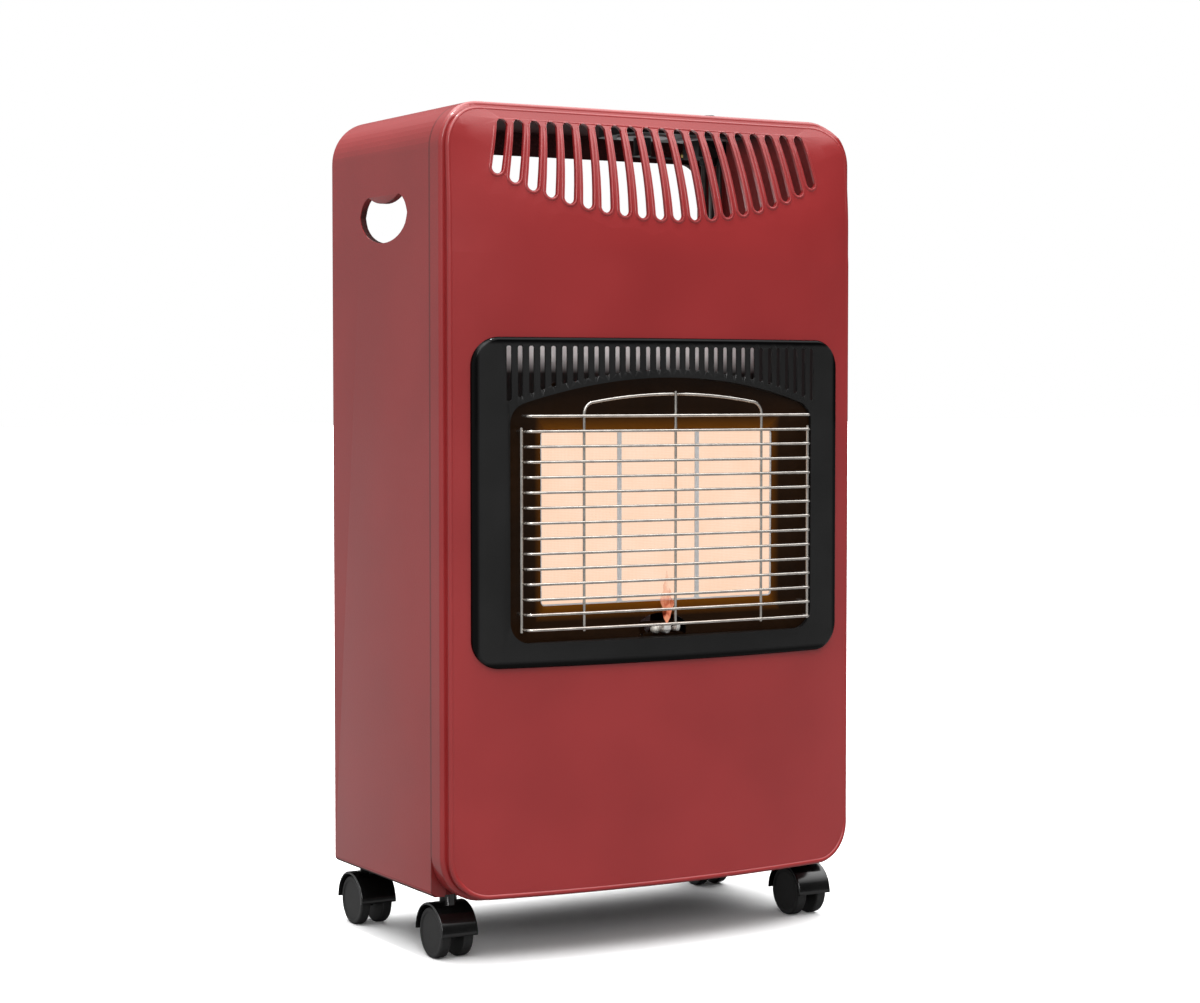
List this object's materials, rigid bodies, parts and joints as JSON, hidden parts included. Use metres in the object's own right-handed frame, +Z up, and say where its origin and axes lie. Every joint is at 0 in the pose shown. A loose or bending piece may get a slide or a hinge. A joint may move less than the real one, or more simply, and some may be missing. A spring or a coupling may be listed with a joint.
{
  "type": "portable gas cabinet heater",
  "caption": "Cabinet heater on twin-wheel castors: crowned sheet front with lipped vents, louvred bezel, wire guard over radiant plaques, open back for a gas bottle.",
  "frame": {"origin": "on the floor under the middle of the whole heater", "axes": "+X to the right seen from the front, +Y from the front to the back, +Z up"},
  "size_m": [0.42, 0.272, 0.7423],
  "materials": {
    "red_paint": "satin",
    "black_paint": "satin",
    "galvanised": "dull",
    "bright_wire": "bright",
    "plaque_ceramic": "matt",
    "pipe_metal": "satin",
    "valve_brass": "satin",
    "black_plastic": "matt",
    "grey_plastic": "matt",
    "castor_hood": "gloss",
    "castor_wheel": "matt",
    "red_plastic": "gloss",
    "lead_sleeve": "matt",
    "white_ceramic": "glazed"
  },
  "bodies": {
    "cabinet": {"body_shell": "red_paint", "front_panel": "red_paint", "base_tray": "black_paint", "castor_sockets": "black_plastic", "heat_shield": "galvanised", "window_bezel": "black_paint", "reflector_pan": "galvanised", "guard_grille": "bright_wire", "burner_frame": "galvanised", "plaque_left": "plaque_ceramic", "plaque_centre": "plaque_ceramic", "plaque_right": "plaque_ceramic", "plenum_left": "galvanised", "plenum_centre": "galvanised", "plenum_right": "galvanised", "side_bracket_left": "galvanised", "side_bracket_right": "galvanised", "injector_bar": "galvanised", "injectors": "valve_brass", "pilot_bracket": "galvanised", "pilot_burner": "galvanised", "thermocouple": "galvanised", "spark_electrode": "white_ceramic", "control_panel": "black_plastic", "backing_discs": "grey_plastic", "valve_body": "valve_brass", "gas_inlet": "valve_brass", "burner_tube_left": "pipe_metal", "burner_tube_centre": "pipe_metal", "burner_tube_right": "pipe_metal", "pilot_tube": "pipe_metal", "thermocouple_lead": "pipe_metal", "ignition_lead": "lead_sleeve", "igniter_body": "black_plastic", "panel_screws": "galvanised", "burner_screws": "galvanised"},
    "swivel_front_left": {"castor_front_left_hood": "castor_hood", "castor_front_left_stem": "galvanised", "castor_front_left_axle": "galvanised"},
    "wheel_front_left_outer": {"castor_front_left_wheel_outer": "castor_wheel"},
    "wheel_front_left_inner": {"castor_front_left_wheel_inner": "castor_wheel"},
    "swivel_front_right": {"castor_front_right_hood": "castor_hood", "castor_front_right_stem": "galvanised", "castor_front_right_axle": "galvanised"},
    "wheel_front_right_outer": {"castor_front_right_wheel_outer": "castor_wheel"},
    "wheel_front_right_inner": {"castor_front_right_wheel_inner": "castor_wheel"},
    "swivel_rear_left": {"castor_rear_left_hood": "castor_hood", "castor_rear_left_stem": "galvanised", "castor_rear_left_axle": "galvanised"},
    "wheel_rear_left_outer": {"castor_rear_left_wheel_outer": "castor_wheel"},
    "wheel_rear_left_inner": {"castor_rear_left_wheel_inner": "castor_wheel"},
    "swivel_rear_right": {"castor_rear_right_hood": "castor_hood", "castor_rear_right_stem": "galvanised", "castor_rear_right_axle": "galvanised"},
    "wheel_rear_right_outer": {"castor_rear_right_wheel_outer": "castor_wheel"},
    "wheel_rear_right_inner": {"castor_rear_right_wheel_inner": "castor_wheel"},
    "knob_carrier": {"valve_plunger": "valve_brass"},
    "knob": {"control_knob": "black_plastic", "valve_spindle": "valve_brass"},
    "igniter_press": {"igniter_button": "red_plastic"}
  },
  "joints": [
    {"name": "swivel_front_left", "type": "hinge", "parent": "cabinet", "child": "swivel_front_left", "pos_m": [-0.185, -0.05752, 0.06], "axis": [0, 0, 1], "continuous": true},
    {"name": "roll_front_left_outer", "type": "hinge", "parent": "swivel_front_left", "child": "wheel_front_left_outer", "pos_m": [-0.185, -0.05452, 0.022], "axis": [1, 0, 0], "continuous": true},
    {"name": "roll_front_left_inner", "type": "hinge", "parent": "swivel_front_left", "child": "wheel_front_left_inner", "pos_m": [-0.185, -0.05452, 0.022], "axis": [1, 0, 0], "continuous": true},
    {"name": "swivel_front_right", "type": "hinge", "parent": "cabinet", "child": "swivel_front_right", "pos_m": [0.185, -0.05752, 0.06], "axis": [0, 0, 1], "continuous": true},
    {"name": "roll_front_right_outer", "type": "hinge", "parent": "swivel_front_right", "child": "wheel_front_right_outer", "pos_m": [0.185, -0.05452, 0.022], "axis": [1, 0, 0], "continuous": true},
    {"name": "roll_front_right_inner", "type": "hinge", "parent": "swivel_front_right", "child": "wheel_front_right_inner", "pos_m": [0.185, -0.05452, 0.022], "axis": [1, 0, 0], "continuous": true},
    {"name": "swivel_rear_left", "type": "hinge", "parent": "cabinet", "child": "swivel_rear_left", "pos_m": [-0.185, 0.10648, 0.06], "axis": [0, 0, 1], "continuous": true},
    {"name": "roll_rear_left_outer", "type": "hinge", "parent": "swivel_rear_left", "child": "wheel_rear_left_outer", "pos_m": [-0.185, 0.10948, 0.022], "axis": [1, 0, 0], "continuous": true},
    {"name": "roll_rear_left_inner", "type": "hinge", "parent": "swivel_rear_left", "child": "wheel_rear_left_inner", "pos_m": [-0.185, 0.10948, 0.022], "axis": [1, 0, 0], "continuous": true},
    {"name": "swivel_rear_right", "type": "hinge", "parent": "cabinet", "child": "swivel_rear_right", "pos_m": [0.185, 0.10648, 0.06], "axis": [0, 0, 1], "continuous": true},
    {"name": "roll_rear_right_outer", "type": "hinge", "parent": "swivel_rear_right", "child": "wheel_rear_right_outer", "pos_m": [0.185, 0.10948, 0.022], "axis": [1, 0, 0], "continuous": true},
    {"name": "roll_rear_right_inner", "type": "hinge", "parent": "swivel_rear_right", "child": "wheel_rear_right_inner", "pos_m": [0.185, 0.10948, 0.022], "axis": [1, 0, 0], "continuous": true},
    {"name": "knob_push", "type": "slide", "parent": "cabinet", "child": "knob_carrier", "axis": [0, 0, -1], "range_m": [0, 0.004], "stiffness_N_per_m": 900},
    {"name": "knob_turn", "type": "hinge", "parent": "knob_carrier", "child": "knob", "pos_m": [0.094, -0.02552, 0.73], "axis": [0, 0, 1], "range_deg": [0, 225]},
    {"name": "igniter_push", "type": "slide", "parent": "cabinet", "child": "igniter_press", "axis": [0, 0, -1], "range_m": [0, 0.005], "stiffness_N_per_m": 1200}
  ]
}
